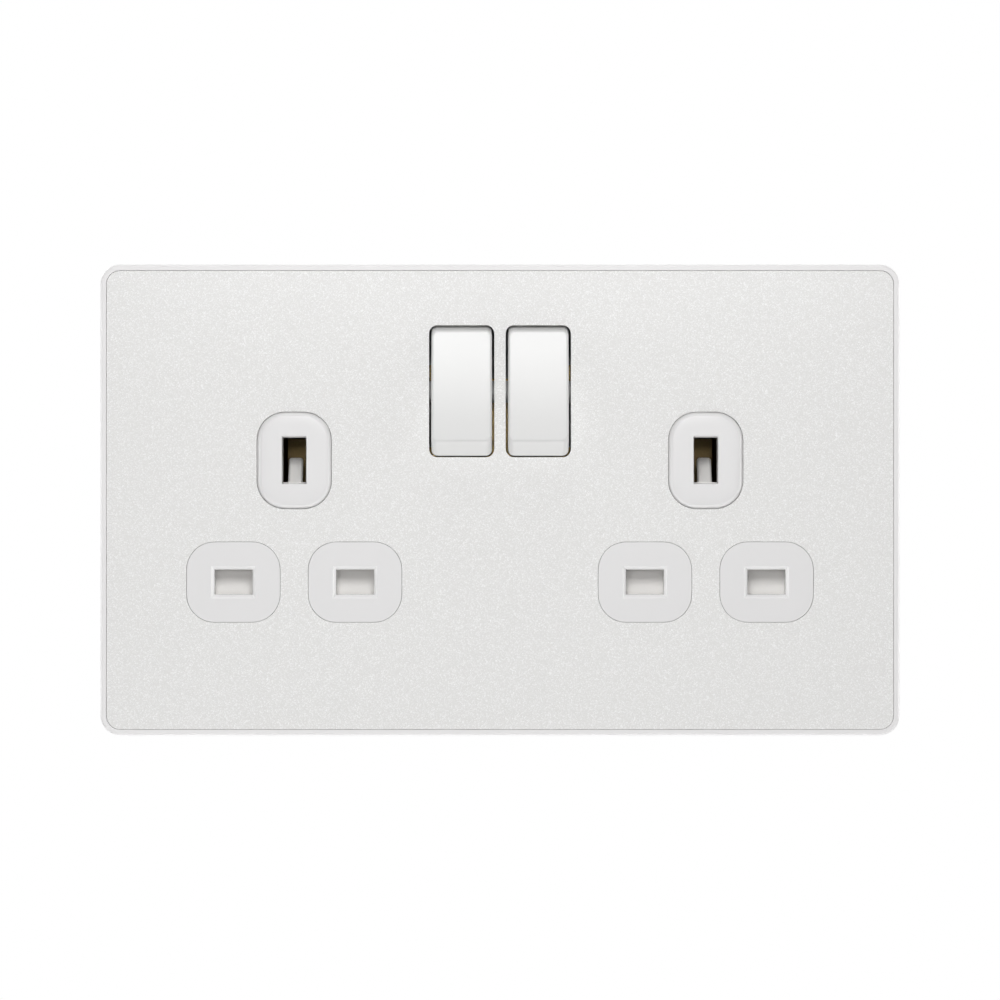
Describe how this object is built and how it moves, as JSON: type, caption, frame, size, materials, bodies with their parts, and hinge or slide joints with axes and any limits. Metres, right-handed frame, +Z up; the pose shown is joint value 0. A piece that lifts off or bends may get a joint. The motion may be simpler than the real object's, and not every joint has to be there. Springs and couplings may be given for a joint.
{
  "type": "switched twin wall socket",
  "caption": "Twin switched wall socket with a screwless clip-on plate, rocker switches, safety shutters, pin clips and a moulded back that sits in the wall box.",
  "frame": {"origin": "middle of the plate on the wall plane, midway between the two fixing slots", "axes": "+X to the right seen from the front, +Y into the wall, +Z up"},
  "size_m": [0.146, 0.0296, 0.086],
  "materials": {
    "pearl_panel": "pearl silver with fine sparkle",
    "tray_plastic": "pale silver-grey, smooth",
    "plated_steel": "zinc plated",
    "white_moulding": "white, fine gloss",
    "rear_moulding": "white, matt",
    "brass": "rolled sheet",
    "clip_brass": "sprung sheet",
    "brass_block": "extruded and drilled",
    "brass_screw": "turned",
    "zinc_screw": "zinc plated",
    "rocker_gloss": "white, high gloss",
    "plunger_plastic": "natural nylon",
    "spring_steel": "spring wire",
    "copper_strip": "copper alloy strip",
    "silver_tip": "silver alloy",
    "shutter_plastic": "off-white, matt"
  },
  "bodies": {
    "housing": {"face_panel": "pearl_panel", "cover_tray": "tray_plastic", "mounting_strap": "plated_steel", "front_moulding": "white_moulding", "rear_moulding": "rear_moulding", "line_bar": "brass", "neutral_bar": "brass", "earth_bar": "brass", "module_screws": "zinc_screw", "earth_terminal": "brass_block", "earth_terminal_screws": "brass_screw", "line_terminal": "brass_block", "line_terminal_screws": "brass_screw", "neutral_terminal": "brass_block", "neutral_terminal_screws": "brass_screw", "left_fixed_tip": "silver_tip", "left_line_contact": "brass", "left_neutral_clip": "clip_brass", "left_earth_clip": "clip_brass", "left_shutter_spring": "spring_steel", "right_fixed_tip": "silver_tip", "right_line_contact": "brass", "right_neutral_clip": "clip_brass", "right_earth_clip": "clip_brass", "right_shutter_spring": "spring_steel"},
    "left_rocker": {"left_rocker": "rocker_gloss", "left_plunger_spring": "spring_steel"},
    "left_plunger": {"left_plunger": "plunger_plastic"},
    "left_moving_contact": {"left_moving_contact": "copper_strip", "left_moving_tip": "silver_tip"},
    "left_shutter": {"left_shutter": "shutter_plastic"},
    "right_rocker": {"right_rocker": "rocker_gloss", "right_plunger_spring": "spring_steel"},
    "right_plunger": {"right_plunger": "plunger_plastic"},
    "right_moving_contact": {"right_moving_contact": "copper_strip", "right_moving_tip": "silver_tip"},
    "right_shutter": {"right_shutter": "shutter_plastic"}
  },
  "joints": [
    {"name": "left_rocker_tilt", "type": "hinge", "parent": "housing", "child": "left_rocker", "pos_m": [-0.007, -0.003, 0.01987], "axis": [1, 0, 0], "range_deg": [0, 16]},
    {"name": "left_plunger_slide", "type": "slide", "parent": "left_rocker", "child": "left_plunger", "axis": [0, 0.9903, -0.1392], "range_m": [-0.0015, 0], "stiffness_N_per_m": 600, "springref_m": 0.002, "deforming": ["left_plunger_spring"]},
    {"name": "left_contact_rock", "type": "hinge", "parent": "housing", "child": "left_moving_contact", "pos_m": [-0.007, 0.0046, 0.01987], "axis": [1, 0, 0], "range_deg": [-22, 0]},
    {"name": "left_shutter_slide", "type": "slide", "parent": "housing", "child": "left_shutter", "axis": [0, 0, -1], "range_m": [0, 0.00457], "stiffness_N_per_m": 150, "springref_m": -0.003, "deforming": ["left_shutter_spring"]},
    {"name": "right_rocker_tilt", "type": "hinge", "parent": "housing", "child": "right_rocker", "pos_m": [0.007, -0.003, 0.01987], "axis": [1, 0, 0], "range_deg": [0, 16]},
    {"name": "right_plunger_slide", "type": "slide", "parent": "right_rocker", "child": "right_plunger", "axis": [0, 0.9903, -0.1392], "range_m": [-0.0015, 0], "stiffness_N_per_m": 600, "springref_m": 0.002, "deforming": ["right_plunger_spring"]},
    {"name": "right_contact_rock", "type": "hinge", "parent": "housing", "child": "right_moving_contact", "pos_m": [0.007, 0.0046, 0.01987], "axis": [1, 0, 0], "range_deg": [-22, 0]},
    {"name": "right_shutter_slide", "type": "slide", "parent": "housing", "child": "right_shutter", "axis": [0, 0, -1], "range_m": [0, 0.00457], "stiffness_N_per_m": 150, "springref_m": -0.003, "deforming": ["right_shutter_spring"]}
  ],
  "couplings": [
    {"joint": "left_contact_rock", "follows": "left_rocker_tilt", "ratio": -1.375},
    {"joint": "right_contact_rock", "follows": "right_rocker_tilt", "ratio": -1.375}
  ]
}
